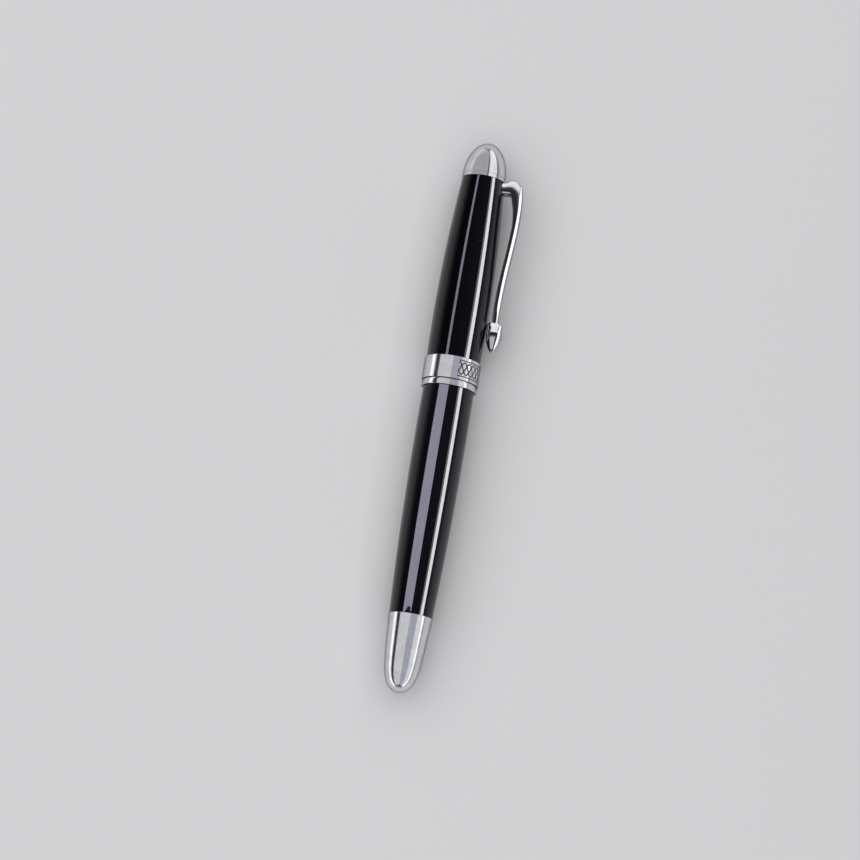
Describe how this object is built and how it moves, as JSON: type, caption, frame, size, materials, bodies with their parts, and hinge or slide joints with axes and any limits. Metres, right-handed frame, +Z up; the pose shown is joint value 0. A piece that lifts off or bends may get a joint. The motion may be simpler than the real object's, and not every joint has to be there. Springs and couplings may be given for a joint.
{
  "type": "rollerball pen",
  "caption": "Capped rollerball pen: black lacquered cap and barrel with bright domed ends, an engraved cap band, a bowed sprung pocket clip, a screw-off barrel and a spring-backed refill.",
  "frame": {"origin": "on the pen's axis, halfway along the cap band", "axes": "+Y along the axis towards the cap's end, +Z up, clip towards +X and raised 9 degrees"},
  "size_m": [0.0179, 0.14, 0.014],
  "materials": {
    "black_lacquer": "deep gloss lacquer on resin",
    "bright_plate": "bright plating on brass",
    "grip_plastic": "polished black",
    "thread_brass": "turned",
    "spring_steel": "drawn wire",
    "screw_steel": "turned",
    "liner_plastic": "moulded",
    "seal_rubber": "soft",
    "refill_steel": "drawn tube",
    "plug_plastic": "moulded",
    "ink_fibre": "ink-soaked fibre",
    "wick_plastic": "ink-soaked",
    "nose_plastic": "moulded",
    "point_metal": "turned nickel silver",
    "ball_carbide": "ground carbide"
  },
  "bodies": {
    "section": {"grip_section": "grip_plastic", "nose_cone": "bright_plate", "section_thread": "thread_brass"},
    "snap_ring": {"snap_ring": "spring_steel"},
    "cap": {"cap_finial": "bright_plate", "cap_finial_screw": "screw_steel", "clip_ring": "bright_plate", "cap_tube": "black_lacquer", "cap_band": "bright_plate", "mouth_bush": "thread_brass", "inner_cap": "liner_plastic", "tip_seal": "seal_rubber"},
    "clip": {"clip": "bright_plate"},
    "trim_ring": {"trim_ring": "bright_plate"},
    "barrel": {"barrel_tube": "black_lacquer", "barrel_bush": "thread_brass", "finial_bush": "thread_brass", "barrel_finial": "bright_plate", "spring_seat": "liner_plastic", "refill_spring": "spring_steel"},
    "refill": {"refill_tube": "refill_steel", "refill_end_plug": "plug_plastic", "ink_reservoir": "ink_fibre", "ink_wick": "wick_plastic", "refill_nose": "nose_plastic", "point_cone": "point_metal"},
    "ball": {"ball": "ball_carbide"}
  },
  "joints": [
    {"name": "cap_turn", "type": "hinge", "parent": "section", "child": "snap_ring", "pos_m": [0, 0.0015, 0], "axis": [0, 1, 0], "continuous": true},
    {"name": "cap_pull", "type": "slide", "parent": "snap_ring", "child": "cap", "axis": [0, 1, 0], "range_m": [0, 0.05]},
    {"name": "clip_flex", "type": "hinge", "parent": "cap", "child": "clip", "pos_m": [0.00494, 0.04825, 0.00078], "axis": [-0.1564, 0, 0.9877], "range_deg": [0, 4], "stiffness_Nm_per_rad": 2},
    {"name": "barrel_turn", "type": "hinge", "parent": "section", "child": "trim_ring", "pos_m": [0, -0.0037, 0], "axis": [0, -1, 0], "range_deg": [0, 2880]},
    {"name": "barrel_travel", "type": "slide", "parent": "trim_ring", "child": "barrel", "axis": [0, -1, 0], "range_m": [0, 0.006]},
    {"name": "refill_cushion", "type": "slide", "parent": "section", "child": "refill", "axis": [0, -1, 0], "range_m": [0, 0.0008], "stiffness_N_per_m": 600, "deforming": ["refill_spring"]},
    {"name": "ball_roll", "type": "hinge", "parent": "refill", "child": "ball", "pos_m": [0, 0.04245, 0], "axis": [1, 0, 0], "continuous": true}
  ],
  "couplings": [
    {"joint": "barrel_turn", "follows": "barrel_travel", "rad_per_m": 8377.6}
  ]
}
